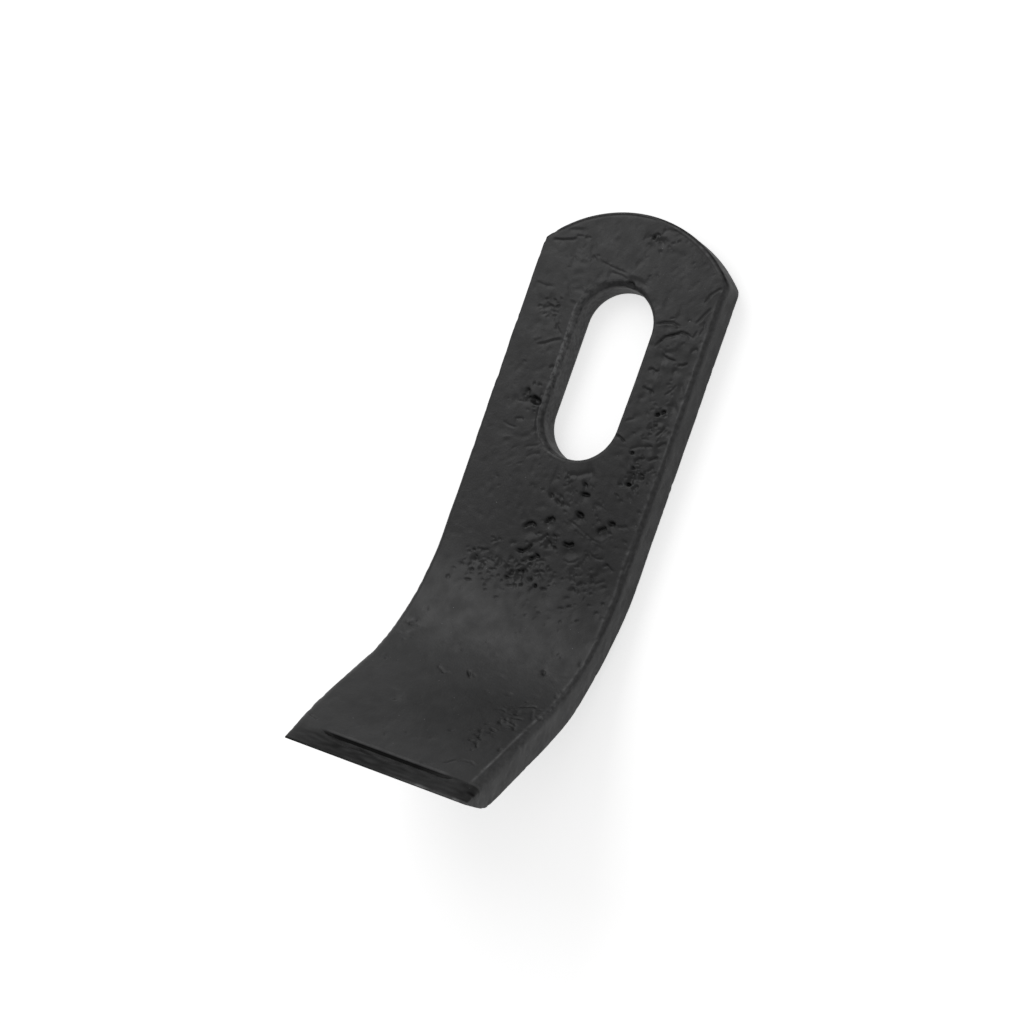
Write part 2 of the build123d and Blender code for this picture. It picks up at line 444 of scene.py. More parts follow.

# %% [markdown]
# Forged steel keeps the marks of scale and die. Noise alone would scatter them evenly, and
# the real bar has a few deep holes, long creases and one rough field below the slot. So
# the main marks are set down one by one: a place on the flat bar in mm, a size and a depth.
# A dent is a bowl with steep walls, and a crease a line of points with a groove and a lip.

# %% Dents: x, y, half length, half width, turn in degrees, depth
dents = [
    # left of the slot
    (-18.9, 13.7, 0.6, 0.35, 10, 0.18), (-17.2, 12.4, 0.9, 0.4, -15, 0.32),
    (-15.4, 12.8, 0.6, 0.4, 40, 0.3), (-12.2, 14.5, 1.3, 0.6, -10, 0.16),
    (-12.8, 24.6, 1.2, 0.7, 0, 0.14), (-10.6, 26.5, 0.7, 0.4, -40, 0.16),
    (-5.9, 31.9, 1.2, 1.0, 30, 0.12), (-14.2, 30.7, 0.5, 0.4, 0, 0.22),
    (-13.4, 30.9, 0.4, 0.3, 0, 0.2), (-19.0, -2.4, 0.7, 0.4, 0, 0.12),
    (-15.5, -9.1, 0.9, 0.7, -20, 0.4), (-14.9, -10.6, 0.7, 0.9, 0, 0.3),
    (-12.7, -10.7, 1.7, 1.0, -12, 1.1), (-15.6, -8.6, 0.5, 0.4, 0, 0.3),
    (-11.6, -1.8, 0.7, 0.5, 30, 0.3), (-12.1, -13.3, 0.4, 0.3, 0, 0.2),
    (-16.0, 9.0, 1.8, 1.1, -30, 0.12),
    # above the slot and at the head
    (0.8, 22.4, 1.3, 0.9, 0, 0.8), (2.7, 34.9, 0.55, 0.45, 60, 0.4),
    (8.0, 34.7, 0.8, 0.25, 10, 0.2), (2.6, 23.6, 3.0, 0.9, -8, 0.3),
    (4.9, 25.6, 0.7, 0.25, 20, 0.14), (23.5, 26.9, 0.5, 0.5, 0, 0.22),
    (12.6, 28.6, 1.2, 0.7, 60, 0.08),
    # right of the slot
    (18.7, -5.7, 0.65, 0.5, 20, 0.8), (19.9, -4.8, 0.8, 0.5, 35, 0.8),
    (20.6, -5.5, 0.45, 0.3, 0, 0.3), (18.2, -9.3, 0.45, 0.3, 20, 0.28),
    (18.6, -10.7, 0.5, 0.3, 10, 0.28), (14.6, -11.5, 0.6, 0.3, -10, 0.18),
    (15.8, -16.1, 0.6, 0.4, 10, 0.6), (22.8, -19.2, 0.8, 0.3, 30, 0.14),
    (17.4, -19.7, 0.7, 0.25, 15, 0.18), (16.8, -21.0, 0.5, 0.4, 0, 0.2),
    (17.6, -23.5, 0.7, 0.45, 0, 0.65), (15.6, -24.1, 0.7, 0.3, 20, 0.3),
    (18.3, -21.3, 0.5, 0.3, 50, 0.22), (19.1, -24.3, 0.7, 0.35, -30, 0.2),
    (21.4, -19.0, 0.5, 0.3, 60, 0.2), (13.2, -3.0, 0.9, 0.35, 0, 0.1),
    (16.4, -3.0, 0.8, 0.3, 20, 0.1), (12.3, -8.8, 1.4, 0.4, 25, 0.16),
    # the field below the slot: dark halves of the large craters, and small dents round them
    (7.9, -28.8, 1.35, 0.5, 5, 0.75), (6.9, -26.5, 0.8, 0.45, -15, 0.5),
    (8.3, -33.8, 1.2, 0.7, -10, 0.85), (16.9, -33.6, 1.05, 0.55, 10, 0.75),
    (-0.5, -31.3, 0.8, 0.5, -20, 0.4), (2.2, -31.0, 0.9, 0.3, -30, 0.25),
    (1.8, -32.4, 1.2, 0.4, -25, 0.35), (3.1, -32.6, 0.4, 0.7, 10, 0.3),
    (2.1, -26.4, 0.7, 0.4, 20, 0.25), (3.3, -27.2, 0.4, 0.8, -30, 0.25),
    (12.0, -30.4, 1.3, 0.5, -5, 0.16), (11.6, -28.0, 0.8, 0.4, 0, 0.1),
    (4.0, -29.0, 1.0, 0.8, 30, 0.12), (1.3, -41.6, 0.7, 0.4, 70, 0.3),
    (2.1, -40.8, 0.6, 0.3, 0, 0.28), (4.0, -40.5, 0.7, 0.3, -40, 0.3),
    (3.0, -42.2, 0.9, 0.35, -35, 0.32), (5.0, -43.1, 0.7, 0.4, -30, 0.34),
    (4.4, -41.5, 0.5, 0.4, 0, 0.2), (-10.6, -45.9, 0.7, 0.3, 25, 0.28),
    (-9.4, -45.1, 0.5, 0.3, 0, 0.2), (-11.2, -45.3, 0.7, 0.3, -10, 0.2),
    (-15.0, -49.4, 0.5, 0.25, 0, 0.36), (14.4, -49.4, 0.8, 0.5, 40, 0.34),
    (3.6, -53.1, 0.5, 0.42, 0, 0.7), (5.9, -53.3, 0.9, 0.4, 5, 0.28),
    (-13.7, -54.1, 0.55, 0.4, 10, 0.3), (-11.7, -53.3, 0.5, 0.6, 40, 0.26),
    (-13.4, -56.8, 1.1, 0.3, 8, 0.34), (-18.5, -57.7, 0.7, 0.6, -30, 0.22),
    (-16.0, -50.2, 0.6, 0.3, 0, 0.2), (-8.6, -56.8, 0.5, 0.3, 0, 0.24),
    (-8.0, -57.9, 0.5, 0.3, 15, 0.2), (-4.5, -58.8, 0.7, 0.3, 5, 0.22),
    (7.5, -59.2, 0.6, 0.35, -20, 0.16), (12.2, -56.4, 0.9, 0.3, 10, 0.24),
    (13.9, -55.4, 0.8, 0.3, 12, 0.3), (17.4, -58.1, 0.7, 0.35, 15, 0.2),
    (21.1, -54.8, 0.6, 0.25, 10, 0.2), (21.7, -52.2, 0.4, 0.3, 0, 0.22),
    (13.4, -51.4, 0.6, 0.3, 0, 0.2), (12.6, -53.6, 0.8, 0.4, 20, 0.16),
    (-8.5, -52.6, 0.9, 0.3, 10, 0.26), (-10.0, -50.6, 1.4, 0.35, -8, 0.24),
    (-5.2, -50.9, 0.8, 0.5, -50, 0.28), (-3.8, -52.3, 1.2, 0.3, 5, 0.3),
    (-4.2, -53.2, 0.7, 0.3, 0, 0.24), (-2.6, -55.0, 1.1, 0.3, 15, 0.28),
    (-3.4, -49.2, 0.6, 0.5, 60, 0.24), (-1.6, -48.4, 0.8, 0.3, 20, 0.26),
    (-0.4, -50.7, 0.8, 0.4, 30, 0.22), (1.6, -52.0, 0.9, 0.3, -5, 0.18),
    (3.7, -50.6, 0.9, 0.4, -40, 0.26), (3.0, -46.9, 1.0, 0.35, 10, 0.24),
    (5.9, -48.6, 0.6, 0.3, 40, 0.16), (2.8, -50.9, 0.5, 0.3, 0, 0.16),
    (21.6, -36.8, 0.8, 0.4, -10, 0.18), (17.2, -35.9, 0.6, 0.35, 10, 0.26),
    (22.6, -29.1, 0.6, 0.3, 0, 0.16), (-16.0, -30.8, 0.9, 0.3, -10, 0.1),
    (-5.6, -44.9, 0.8, 0.3, 20, 0.22), (1.9, -80.9, 0.8, 0.3, -40, 0.16),
    (9.6, -58.0, 1.0, 0.4, 5, 0.1),
    # the smooth blade has only a few
    (16.4, -73.4, 0.5, 0.9, 35, 0.32), (17.2, -67.6, 0.5, 0.4, 40, 0.18),
    (18.1, -68.0, 0.4, 0.5, 20, 0.14), (0.6, -80.9, 0.4, 0.9, 40, 0.26),
    (-19.8, -85.4, 0.3, 0.5, 30, 0.2), (12.8, -82.9, 0.8, 0.6, 30, 0.14),
    (16.4, -96.3, 0.9, 0.45, -15, 0.36), (14.2, -98.0, 0.5, 0.5, 0, 0.3),
    (14.9, -99.9, 0.4, 0.5, 0, 0.3), (14.0, -102.1, 0.6, 0.4, 20, 0.26),
    (17.0, -91.3, 0.6, 0.35, -30, 0.26), (16.2, -92.7, 0.4, 0.7, 20, 0.26),
    (20.3, -93.4, 0.4, 1.0, 25, 0.22), (21.6, -101.9, 0.5, 0.6, 0, 0.26),
    (8.3, -101.2, 0.8, 0.5, 30, 0.14), (0.3, -107.3, 0.7, 0.4, -10, 0.12),
    (6.1, -106.0, 0.9, 0.6, 20, 0.1), (-3.7, -110.3, 0.4, 0.9, 35, 0.12),
    (-9.0, -98.0, 0.5, 0.3, 40, 0.14), (-4.4, -82.9, 0.9, 0.4, 20, 0.14),
]
print("dents:", len(dents))

# %% [markdown]
# Between the large dents lie patches of fine pits, too many to set down one by one. Each
# patch is an oval in which a seeded dice throws them, so they fall alike on every run.

# %% Patches of small random pits: x, y, half length, half width, how many, depth
pit_patches = [
    (-1.0, -51.0, 8.5, 4.6, 95, 0.26), (-12.5, -52.0, 4.5, 4.0, 34, 0.24),
    (14.5, -48.5, 6.5, 6.5, 40, 0.2), (2.5, -42.5, 5.0, 3.0, 26, 0.24),
    (18.8, -21.0, 3.6, 5.5, 44, 0.26), (19.0, -8.0, 3.4, 6.0, 26, 0.22),
    (17.0, 8.0, 5.0, 10.0, 26, 0.16), (-17.0, 12.0, 3.5, 3.0, 26, 0.2),
    (-13.0, 26.5, 5.0, 3.0, 14, 0.12), (5.0, 34.0, 6.0, 3.0, 14, 0.16),
    (-15.0, -10.0, 3.0, 2.6, 20, 0.26), (3.0, -29.0, 6.0, 6.0, 26, 0.16),
    (17.5, -89.0, 4.0, 5.0, 16, 0.16), (15.5, -99.5, 2.6, 4.5, 14, 0.18),
    (12.0, -35.0, 9.0, 8.0, 26, 0.14), (-6.0, -26.0, 12.0, 8.0, 18, 0.08),
    (10.0, -60.0, 12.0, 5.0, 24, 0.12), (14.0, 30.0, 7.0, 4.0, 14, 0.1),
    (-19.5, -73.0, 3.0, 8.0, 10, 0.12), (0.0, -90.0, 20.0, 24.0, 30, 0.07),
    (-17.0, -10.0, 6.0, 22.0, 22, 0.08),
]
pit_seed = 11
pit_scatter = (0, 0.5)      # mean and spread of a pit's place, in half sizes of its patch
pit_lengths = (0.25, 0.7)
pit_widths = (0.16, 0.34)
pit_turn = (5, 25)          # mean and spread, in degrees
pit_depths = (0.3, 1.1)     # as a share of the patch's depth
flat_half = 22.5            # pits keep off the rounded edges

dice = random.Random(pit_seed)
for patch_x, patch_y, half_length, half_width, count, deepest in pit_patches:
    for _ in range(count):
        pit_x = patch_x + dice.gauss(*pit_scatter) * half_length
        pit_y = patch_y + dice.gauss(*pit_scatter) * half_width
        size = dice.uniform(*pit_lengths), dice.uniform(*pit_widths)
        if abs(pit_x) < flat_half:
            turn, depth = dice.gauss(*pit_turn), deepest * dice.uniform(*pit_depths)
            dents.append((pit_x, pit_y, *size, turn, depth))
print("dents with the random pits:", len(dents))

# %% [markdown]
# Round the craters the front sinks softly, and elsewhere it swells a little. These wide
# marks have the same form as the dents, with soft walls. A depth below nothing rises.

# %% Hollows and swellings: x, y, half length, half width, turn in degrees, depth
hollows = [
    (-2.6, -41.0, 2.3, 1.9, 15, 0.42), (9.0, -42.9, 2.6, 2.2, 20, 0.4),
    (8.5, -34.7, 1.4, 1.4, 0, 0.3), (1.7, -37.9, 1.5, 1.3, 30, 0.4),
    (15.3, -36.6, 1.7, 1.4, 25, 0.4), (8.0, -29.4, 1.5, 1.1, 5, 0.24),
    (17.2, -34.3, 1.3, 1.0, 0, 0.18), (-17.4, 11.2, 2.4, 1.8, -20, 0.12),
    (5.0, 34.4, 2.0, 1.2, 10, 0.16), (-13.2, -54.6, 1.8, 1.4, 20, 0.14),
    (16.6, -73.5, 1.7, 1.8, 30, 0.14), (18.0, -47.4, 2.6, 1.7, 40, 0.12),
    (15.5, -100.0, 1.7, 2.4, 20, 0.14), (18.3, -93.2, 2.8, 2.4, 0, 0.14),
    (-14.8, -10.4, 2.4, 1.6, 0, 0.14), (-0.3, -52.4, 7.0, 3.6, 5, 0.16),
    (-12.5, -51.5, 5.0, 3.0, 5, 0.12), (3.4, -41.6, 2.8, 2.0, -30, 0.14),
    (1.4, -31.8, 3.0, 1.5, -20, 0.16), (19.4, -21.5, 3.2, 2.6, 0, 0.14),
    (19.8, -9.6, 2.6, 1.6, 20, 0.1), (-20.5, -70.9, 1.5, 1.1, 10, -0.16),
    (-19.4, -67.2, 0.8, 0.6, -40, -0.14), (-19.1, -73.4, 0.8, 0.8, 0, -0.1),
    (-19.3, -75.5, 0.8, 0.6, 0, -0.1), (-14.3, -64.6, 0.5, 1.8, 28, -0.07),
    (-6.5, -73.8, 0.8, 0.5, 20, -0.1), (-5.4, -75.3, 0.5, 0.8, 20, -0.1),
    (-20.9, -84.2, 0.8, 0.7, 0, -0.14), (-16.8, -21.2, 1.5, 0.6, 8, -0.1),
    (3.2, -61.2, 1.5, 1.0, 15, -0.06), (-12.5, -102.6, 2.4, 1.3, 15, -0.06),
    (8.5, -63.2, 1.5, 0.8, 10, -0.06), (5.6, 34.6, 0.5, 0.35, 0, -0.16),
    (4.0, 34.3, 0.35, 0.35, 0, -0.14), (-20.5, 27.2, 2.2, 1.2, 0, -0.05),
    (13.5, 29.5, 3.0, 2.4, 30, -0.05), (16.6, 11.4, 3.4, 2.2, 25, -0.26),
    (16.5, 5.9, 2.4, 1.5, 0, -0.2), (21.0, 10.6, 1.4, 1.4, 0, -0.12),
    (23.6, -119.6, 1.6, 2.0, 0, 0.4), (15.6, 1.8, 2.4, 1.8, 0, -0.22),
    (20.0, -13.0, 2.6, 1.3, 20, -0.14), (14.6, 13.9, 1.9, 0.9, 10, -0.14),
    (2.2, -61.0, 1.0, 0.8, 0, -0.04), (15.4, -99.4, 0.5, 0.9, 0, -0.16),
    (19.2, -93.6, 0.45, 1.3, 0, -0.12), (18.3, -92.2, 0.8, 0.5, 0, -0.12),
    (16.0, -94.0, 0.8, 0.9, 0, -0.1),
]
print("hollows and swellings:", len(hollows))

# %% [markdown]
# Creases are laps in the skin: a fold that was hammered shut. A noise could draw wavy
# lines, but not these ones. Each is a line of points on the flat bar, with a groove along
# it and often a lip where the metal was pushed up.

# %% Creases: points, half width, depth, height of the lip on the line's left
creases = [
    ([(-22.8, 28.2), (-20.0, 28.7), (-17.6, 29.4), (-16.4, 30.1)], 0.3, 0.3, 0.06),
    ([(-19.8, 31.4), (-17.0, 32.0), (-14.8, 32.6)], 0.45, 0.12, 0.04),
    ([(-17.0, 30.5), (-15.0, 30.9)], 0.25, 0.14, 0.06),
    ([(-9.0, 26.2), (-6.0, 25.5), (-3.0, 25.1), (-0.8, 24.8)], 0.22, 0.2, 0.0),
    ([(-5.2, 24.1), (-2.0, 24.0), (0.3, 23.2)], 0.3, 0.16, 0.04),
    ([(-23.6, 17.1), (-20.5, 16.8), (-17.9, 17.2)], 0.35, 0.1, 0.03),
    ([(-14.6, 19.0), (-14.2, 17.4), (-13.2, 15.9)], 0.3, 0.1, 0.0),
    ([(2.3, 34.4), (2.6, 35.3), (3.3, 35.9), (4.3, 35.7)], 0.3, 0.34, 0.05),
    ([(4.2, 37.0), (6.0, 37.6), (8.4, 37.8)], 0.4, 0.2, 0.0),
    ([(10.7, 15.0), (12.6, 15.9), (14.8, 16.4), (16.8, 15.7)], 0.3, 0.32, -0.08),
    ([(12.2, 9.4), (13.0, 11.2), (13.9, 12.6), (15.6, 13.5), (17.5, 14.7), (19.2, 14.6),
      (20.8, 13.9)], 0.26, 0.42, -0.06),
    ([(20.8, 13.9), (21.2, 14.8), (21.3, 16.0)], 0.22, 0.2, 0.0),
    ([(23.4, 27.4), (22.6, 26.2), (21.5, 25.1), (21.0, 23.4), (20.7, 22.6)], 0.26, 0.26, 0.05),
    ([(22.9, 22.2), (21.9, 20.4), (21.0, 18.6), (20.3, 17.4)], 0.28, 0.24, 0.05),
    ([(22.4, 18.8), (22.8, 17.0), (22.2, 15.0)], 0.25, 0.14, 0.0),
    ([(21.6, 10.6), (22.3, 11.6), (23.0, 11.9)], 0.35, 0.26, 0.0),
    ([(14.6, 8.8), (15.4, 8.1), (16.8, 7.7), (18.8, 7.7)], 0.28, 0.34, 0.08),
    ([(19.4, 6.9), (20.6, 7.1), (21.8, 8.0)], 0.28, 0.34, 0.06),
    ([(19.0, 5.0), (19.3, 6.0)], 0.22, 0.16, 0.0),
    ([(12.6, 4.0), (13.6, 4.4), (14.6, 4.0), (15.6, 4.4)], 0.3, 0.36, 0.05),
    ([(12.6, -0.2), (13.9, -0.6), (15.2, -0.7), (16.0, -1.2)], 0.28, 0.34, 0.06),
    ([(18.8, -0.8), (20.1, 0.6), (20.9, 2.3)], 0.2, 0.2, 0.03),
    ([(-17.6, 2.4), (-15.6, 3.1), (-13.6, 4.4), (-12.0, 5.1), (-11.3, 4.8)], 0.34, 0.2, 0.1),
    ([(-18.8, 2.9), (-16.6, 3.9)], 0.4, 0.06, 0.06),
    ([(-14.6, 8.6), (-13.2, 7.2), (-12.1, 6.3)], 0.28, 0.16, 0.05),
    ([(20.2, -10.7), (21.2, -9.3), (21.6, -8.0)], 0.28, 0.3, 0.05),
    ([(22.4, -8.4), (21.7, -9.6), (21.2, -10.4)], 0.22, 0.16, 0.0),
    ([(10.6, -13.0), (12.0, -13.5), (13.2, -14.2)], 0.24, 0.3, 0.05),
    ([(14.8, -15.5), (17.0, -14.2), (19.0, -13.7), (20.4, -13.0)], 0.3, 0.22, 0.0),
    ([(21.3, -13.1), (22.3, -12.2), (23.4, -11.5)], 0.34, 0.32, 0.0),
    ([(17.0, -18.0), (17.9, -17.0), (19.5, -16.4)], 0.34, 0.34, 0.04),
    ([(20.4, -16.8), (21.6, -16.0), (22.5, -15.3)], 0.34, 0.34, 0.04),
    ([(-19.2, -17.7), (-17.4, -18.3), (-15.2, -18.3)], 0.26, 0.18, -0.04),
    ([(-16.4, -16.2), (-15.0, -15.9), (-14.0, -15.8)], 0.28, 0.22, 0.0),
    ([(1.8, -25.4), (4.4, -25.1), (6.2, -24.0), (8.4, -22.7)], 0.6, 0.26, -0.05),
    ([(-11.4, -22.1), (-9.4, -21.4), (-7.8, -20.8)], 0.35, 0.14, 0.0),
    ([(-10.2, -24.3), (-8.6, -23.2), (-6.8, -22.6)], 0.35, 0.12, 0.0),
    ([(0.3, -38.2), (0.9, -37.1), (1.8, -36.5), (2.8, -36.9)], 0.36, 0.7, 0.0),
    ([(-4.8, -40.7), (-3.9, -39.6), (-2.8, -39.0), (-1.4, -39.5)], 0.38, 0.7, 0.0),
    ([(6.4, -41.4), (8.0, -41.6), (9.4, -40.7)], 0.46, 0.75, 0.0),
    ([(7.8, -45.2), (9.5, -45.5), (11.1, -44.9), (11.9, -43.6)], 0.24, 0.18, 0.0),
    ([(13.8, -36.4), (14.9, -35.5), (16.0, -34.8)], 0.4, 0.7, 0.0),
    ([(18.4, -34.0), (20.0, -33.6), (21.2, -33.1)], 0.28, 0.26, 0.0),
    ([(5.0, -35.7), (8.0, -36.4), (11.0, -37.7), (14.0, -38.7), (16.4, -39.0)], 0.22, 0.12, -0.04),
    ([(-4.6, -46.3), (-2.8, -46.2), (-1.8, -45.3), (-0.9, -43.7)], 0.38, 0.65, 0.0),
    ([(-0.7, -47.6), (0.5, -46.9), (1.2, -46.1), (2.2, -46.5)], 0.38, 0.65, 0.0),
    ([(-14.4, -48.9), (-12.6, -48.7), (-11.0, -48.3)], 0.26, 0.26, 0.04),
    ([(14.4, -42.0), (15.8, -42.6), (17.2, -42.4), (18.0, -42.0)], 0.24, 0.24, 0.0),
    ([(18.2, -43.8), (19.4, -43.3), (20.4, -43.9), (21.4, -44.3)], 0.26, 0.28, 0.0),
    ([(16.2, -46.3), (16.9, -47.6), (17.3, -48.4)], 0.28, 0.2, 0.0),
    ([(17.8, -48.5), (19.0, -47.6), (20.2, -46.9)], 0.26, 0.2, 0.0),
    ([(12.6, -38.9), (15.6, -39.6), (17.6, -40.2)], 0.3, 0.08, 0.0),
    ([(-22.5, -72.4), (-21.2, -72.5), (-20.1, -72.3)], 0.35, 0.18, 0.0),
    ([(-7.6, -81.8), (-6.0, -82.6), (-4.6, -83.5)], 0.4, 0.16, 0.0),
    ([(-0.4, -80.0), (0.6, -80.9), (1.6, -82.3)], 0.3, 0.18, 0.0),
    ([(15.6, -88.6), (15.8, -87.2), (17.0, -85.8), (19.0, -84.6), (20.8, -83.8)],
     0.35, 0.16, -0.06),
    ([(17.4, -90.3), (19.0, -89.6), (20.4, -89.4)], 0.3, 0.2, 0.0),
    ([(20.4, -85.0), (21.2, -86.8), (22.2, -88.8)], 0.3, 0.14, 0.0),
    ([(15.2, -101.4), (16.0, -102.6), (16.9, -104.0)], 0.3, 0.2, 0.0),
    ([(12.8, -112.8), (14.2, -111.6), (15.1, -110.1), (16.6, -109.3), (18.6, -109.0), (20.2, -109.7)],
     0.26, 0.18, 0.03),
    ([(8.6, -115.0), (10.6, -114.1), (11.4, -113.6)], 0.26, 0.12, 0.0),
    ([(-23.2, -112.7), (-21.6, -112.9), (-20.5, -113.6)], 0.26, 0.22, 0.0),
    ([(22.3, 12.0), (22.2, 2.0), (22.1, -8.0), (22.3, -18.0), (22.2, -27.0)], 1.2, 0.14, 0.0),
    ([(-11.3, -10.6), (-11.25, -13.0), (-10.9, -15.0), (-10.1, -17.4), (-8.7, -19.3), (-6.9, -20.7),
      (-4.4, -21.5)], 0.22, 0.26, 0.0),
]
print("creases:", len(creases))

# %% [markdown]
# Along the right edge, round the slot and inside the dome's rim the front stands up in a
# low line, where the die squeezed metal out. The paint is paler along these lines, partly
# worn and partly a painted highlight.

# %% Raised lines: points, half width, height
welts = [
    ([(23.7, 26.5), (23.85, 15.0), (23.7, 4.0), (23.9, -12.0), (23.7, -26.0), (23.5, -38.0)],
     0.4, 0.1),
    ([(23.4, -36.0), (23.2, -42.0), (23.6, -50.0), (23.3, -55.0), (23.7, -61.0)], 0.4, 0.12),
    ([(23.9, -60.0), (23.9, -68.0), (23.5, -76.0), (23.5, -83.0)], 0.38, 0.12),
    ([(23.3, -82.0), (23.1, -90.0), (22.9, -98.0), (23.05, -106.0), (22.9, -112.0), (23.0, -117.0)],
     0.42, 0.16),
    ([(-11.1, 7.0), (-11.0, 9.5), (-10.9, 11.6), (-10.3, 15.3), (-8.6, 18.6), (-6.0, 21.3),
      (-3.2, 22.6), (-1.0, 22.9)], 0.35, 0.1),
    ([(-10.6, -0.5), (-10.5, -4.0), (-10.55, -8.2)], 0.3, 0.07),
    ([(-10.6, -13.0), (-10.3, -15.0), (-9.4, -17.3), (-8.0, -19.2), (-6.2, -20.7), (-3.8, -21.9),
      (-1.0, -22.3)], 0.34, 0.14),
    ([(10.4, -12.0), (10.3, -4.0), (10.4, 4.0), (10.3, 11.0)], 0.25, 0.05),
]
dome_points = 24


def dome_line(radius, start, end):
    """Points along the head's arc, at angles in degrees from the head's top, right is more."""
    angles = [math.radians(90 - angle) for angle in np.linspace(start, end, dome_points)]
    return [(radius * math.cos(a), dome.y + radius * math.sin(a)) for a in angles]


# the dome's rim: a raised line along the arc and a shallow crease inside it
welts.append((dome_line(32.5, -49, 10), 0.35, 0.1))
welts.append((dome_line(32.3, 9, 47), 0.35, 0.13))
creases.append((dome_line(32.15, -49, 6), 0.25, 0.26, 0.0))
creases.append((dome_line(31.6, 5, 45), 0.35, 0.16, 0.0))
# the second groove beside the cutting edge
creases.append(([(-12.5, -117.9), (-6.0, -118.05), (0.0, -118.1), (5.5, -118.0)], 0.24, 0.3, 0.0))
creases.append(([(-9.0, -119.9), (3.0, -120.2), (12.0, -120.0)], 0.4, 0.07, 0.0))
print("raised lines:", len(welts), "creases:", len(creases))

# %% [markdown]
# All the marks together are a height over the flat front, asked for at any place. Numpy
# answers for every point at once. Points far from a mark are left out before its shape is
# worked out, so a hundred marks cost little more than one.

# %% Bowls
bowl_rim = 1.25             # where a bowl ends, in its half sizes
steep_walls = 2.6           # for dents; the larger the number, the steeper
soft_walls = 1.6            # for hollows, and for paler and darker patches


def seen_from_oval(dx, dy, half_length, half_width, turn):
    """Offsets from an oval's middle, measured along and across it in its half sizes."""
    turn = math.radians(turn)
    along = (dx * math.cos(turn) + dy * math.sin(turn)) / half_length
    across = (dy * math.cos(turn) - dx * math.sin(turn)) / half_width
    return along, across


def bowls(x, y, marks, walls):
    """Height of oval bowls: below nothing inside them, and nothing beyond their rims."""
    height = np.zeros(len(x))
    for mark_x, mark_y, half_length, half_width, turn, depth in marks:
        reach = bowl_rim * max(half_length, half_width)
        near = np.nonzero((np.abs(x - mark_x) < reach) & (np.abs(y - mark_y) < reach))[0]
        u, v = seen_from_oval(x[near] - mark_x, y[near] - mark_y, half_length, half_width, turn)
        q = np.sqrt(u * u + v * v)
        height[near] -= depth * np.clip(1 - (q / bowl_rim) ** walls, 0, 1) ** 2
    return height


one_bowl = [(0.0, 0.0, 1.0, 1.0, 0.0, 1.0)]
print("a bowl 1 mm deep, halfway out:", bowls(np.array([0.6]), np.zeros(1), one_bowl, steep_walls))


# %% Lines
groove_walls = 1.2          # the larger the number, the steeper
lip_from_line = 1.7         # from a crease's middle to its lip, in half widths
crease_taper = 2.2          # how soon a crease is whole; a raised line has its own number
raised_taper = 3


def beside_line(x, y, points):
    """Distance to a line of points, which side it is on, and the share of the way along."""
    best = np.full(len(x), 1e9)
    side = np.zeros(len(x))
    share = np.zeros(len(x))
    lengths = [math.dist(a, b) for a, b in zip(points, points[1:])]
    passed = 0.0
    for (ax, ay), (bx, by), length in zip(points, points[1:], lengths):
        dx, dy = (bx - ax) / length, (by - ay) / length
        t = np.clip((x - ax) * dx + (y - ay) * dy, 0, length)
        off_x, off_y = x - ax - t * dx, y - ay - t * dy
        distance = np.hypot(off_x, off_y)
        closer = distance < best
        best = np.where(closer, distance, best)
        side = np.where(closer, np.sign(dx * off_y - dy * off_x), side)
        share = np.where(closer, (passed + t) / sum(lengths), share)
        passed += length
    return best, side, share


def tapered(share, taper):
    """Nothing at both ends of a line and 1 in between. The taper says how soon it is 1."""
    return np.clip(np.sin(np.pi * np.clip(share, 0.001, 0.999)) * taper, 0, 1)


def grooves(x, y, lines):
    """Height of creases, each with a lip on its left, or on its right if the lip is negative."""
    height = np.zeros(len(x))
    for points, half_width, depth, lip in lines:
        xs, ys = zip(*points)
        reach = 4 * half_width
        beside_x = (x > min(xs) - reach) & (x < max(xs) + reach)
        beside_y = (y > min(ys) - reach) & (y < max(ys) + reach)
        near = np.nonzero(beside_x & beside_y)[0]
        distance, side, share = beside_line(x[near], y[near], points)
        cut = -depth * np.exp(-(distance / half_width) ** 2 * groove_walls)
        signed = distance * side * np.sign(lip or 1)
        from_lip = (signed - lip_from_line * half_width) / half_width
        height[near] += (cut + abs(lip) * np.exp(-from_lip ** 2)) * tapered(share, crease_taper)
    return height


def raised_lines(x, y, lines):
    """Height of raised lines, uneven along their length."""
    height = np.zeros(len(x))
    for points, half_width, rise in lines:
        distance, side, share = beside_line(x, y, points)
        near = np.nonzero(distance < 3 * half_width)[0]
        # about 0.85 of its height, more and less in waves of a few mm
        uneven = [0.85 + 0.5 * noise.noise(Vector((x[i] * 0.3, y[i] * 0.3, 3.0))) for i in near]
        profile = np.exp(-(distance[near] / half_width) ** 2)
        height[near] += rise * np.array(uneven) * tapered(share[near], raised_taper) * profile
    return height


away, _, _ = beside_line(np.array([1.0]), np.array([1.0]), [(0.0, 0.0), (2.0, 0.0)])
print("from a point at y 1 to a line along x:", away)


# %% Height of all marks over the flat front
def marks_height(x, y):
    """All marks together."""
    height = bowls(x, y, dents, steep_walls) + bowls(x, y, hollows, soft_walls)
    return height + grooves(x, y, creases) + raised_lines(x, y, welts)


deepest_dent = max(dents, key=lambda dent: dent[5])
at_deepest = marks_height(np.array(deepest_dent[:1]), np.array(deepest_dent[1:2]))
print("height in the deepest dent:", round(float(at_deepest[0]), 2), "mm")

# %% [markdown]
# Between the marks the skin is uneven too. It is quiet on the blade and beside the slot's
# left, and rough in a few fields, so the noise is multiplied by a map of rough fields.

